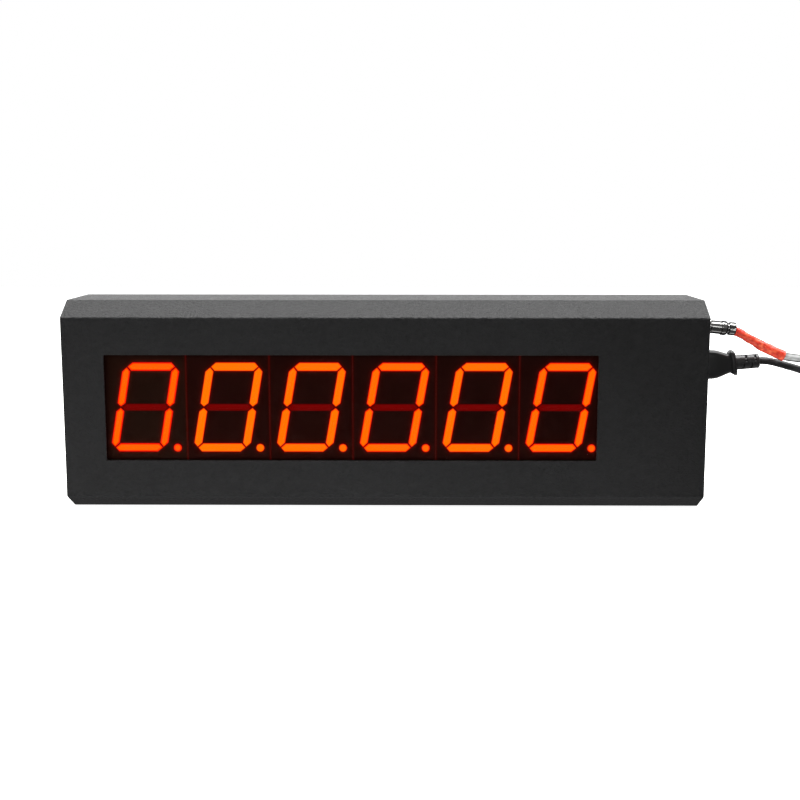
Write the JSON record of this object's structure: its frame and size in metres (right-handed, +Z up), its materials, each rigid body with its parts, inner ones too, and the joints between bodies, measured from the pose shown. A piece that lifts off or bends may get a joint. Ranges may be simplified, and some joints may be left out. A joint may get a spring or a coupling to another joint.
{
  "type": "gym round timer",
  "caption": "Long black sheet-metal LED display box with a wide dark window of large red seven-segment digits, a chamfered front, and a mains lead and a signal lead plugged into its right end.",
  "frame": {"origin": "middle of the case's footprint, on the surface it stands on", "axes": "+X along the case to the right end as read, +Y to the rear cover, +Z up"},
  "size_m": [0.8886, 0.1052, 0.178],
  "materials": {
    "powder_coat": "matte black powder coat with a fine texture",
    "zinc_screw": "zinc-plated steel",
    "window_filter": "smoked red-brown acrylic sheet",
    "digit_housing": "matt dark face",
    "lit_segment": "glowing red-orange light pipes",
    "circuit_board": "green solder mask",
    "galvanised_sheet": "galvanised sheet steel",
    "harness": "insulated wire",
    "inlet_nylon": "black glass-filled nylon",
    "contact_brass": "plain brass",
    "nickel_plate": "bright nickel plate",
    "contact_insert": "black phenolic",
    "black_moulding": "satin moulded PVC",
    "black_cord": "glossy PVC jacket",
    "heat_shrink": "orange-red heat-shrink sleeve",
    "grey_cable": "clear jacket over a silver-grey screen",
    "tie_strap": "black hook-and-loop strap"
  },
  "bodies": {
    "case": {"case_shell": "powder_coat", "left_end_plate": "powder_coat", "right_end_plate": "powder_coat", "rear_cover": "powder_coat", "cover_screw_1": "zinc_screw", "cover_screw_2": "zinc_screw", "cover_screw_3": "zinc_screw", "cover_screw_4": "zinc_screw", "cover_screw_5": "zinc_screw", "cover_screw_6": "zinc_screw", "board_nut_1": "zinc_screw", "board_nut_2": "zinc_screw", "board_nut_3": "zinc_screw", "board_nut_4": "zinc_screw", "window_filter": "window_filter", "digit_1_housing": "digit_housing", "digit_2_housing": "digit_housing", "digit_3_housing": "digit_housing", "digit_4_housing": "digit_housing", "digit_5_housing": "digit_housing", "digit_6_housing": "digit_housing", "digit_1_segments": "lit_segment", "digit_2_segments": "lit_segment", "digit_3_segments": "lit_segment", "digit_4_segments": "lit_segment", "digit_5_segments": "lit_segment", "digit_6_segments": "lit_segment", "display_board": "circuit_board", "control_board": "circuit_board", "supply_board": "circuit_board", "supply_tray": "galvanised_sheet", "supply_cover": "galvanised_sheet", "ribbon_cable": "harness", "supply_harness": "harness", "mains_harness": "harness", "signal_harness": "harness", "inlet_body": "inlet_nylon", "inlet_line_pin": "contact_brass", "inlet_neutral_pin": "contact_brass", "inlet_earth_pin": "contact_brass", "signal_socket_shell": "nickel_plate", "socket_panel_nut": "nickel_plate", "signal_socket_insert": "contact_insert"},
    "mains_lead": {"mains_plug_body": "black_moulding", "mains_cord": "black_cord", "mains_cord_coil": "black_cord", "mains_cord_tie": "tie_strap", "mains_cord_end": "black_cord", "wall_plug_body": "black_moulding", "wall_plug_pin_bridge": "contact_brass"},
    "signal_lead": {"signal_plug_shell": "nickel_plate", "signal_plug_insert": "contact_insert", "heat_shrink_sleeve": "heat_shrink", "signal_cable": "grey_cable", "signal_cable_coil": "grey_cable", "signal_cable_tie": "tie_strap", "signal_cable_end": "grey_cable", "far_plug_shell": "nickel_plate", "far_coupling_ring": "nickel_plate"},
    "coupling_ring": {"coupling_ring": "nickel_plate"}
  },
  "joints": [
    {"name": "mains_plug_pull", "type": "slide", "parent": "case", "child": "mains_lead", "axis": [1, 0, 0], "range_m": [0, 0.018]},
    {"name": "signal_plug_draw", "type": "slide", "parent": "case", "child": "signal_lead", "axis": [1, 0, 0], "range_m": [0, 0.003]},
    {"name": "coupling_ring_turn", "type": "hinge", "parent": "signal_lead", "child": "coupling_ring", "pos_m": [0.277, -0.005, 0.1545], "axis": [1, 0, 0], "range_deg": [0, 1080.1]}
  ],
  "couplings": [
    {"joint": "coupling_ring_turn", "follows": "signal_plug_draw", "rad_per_m": 6283.2}
  ]
}
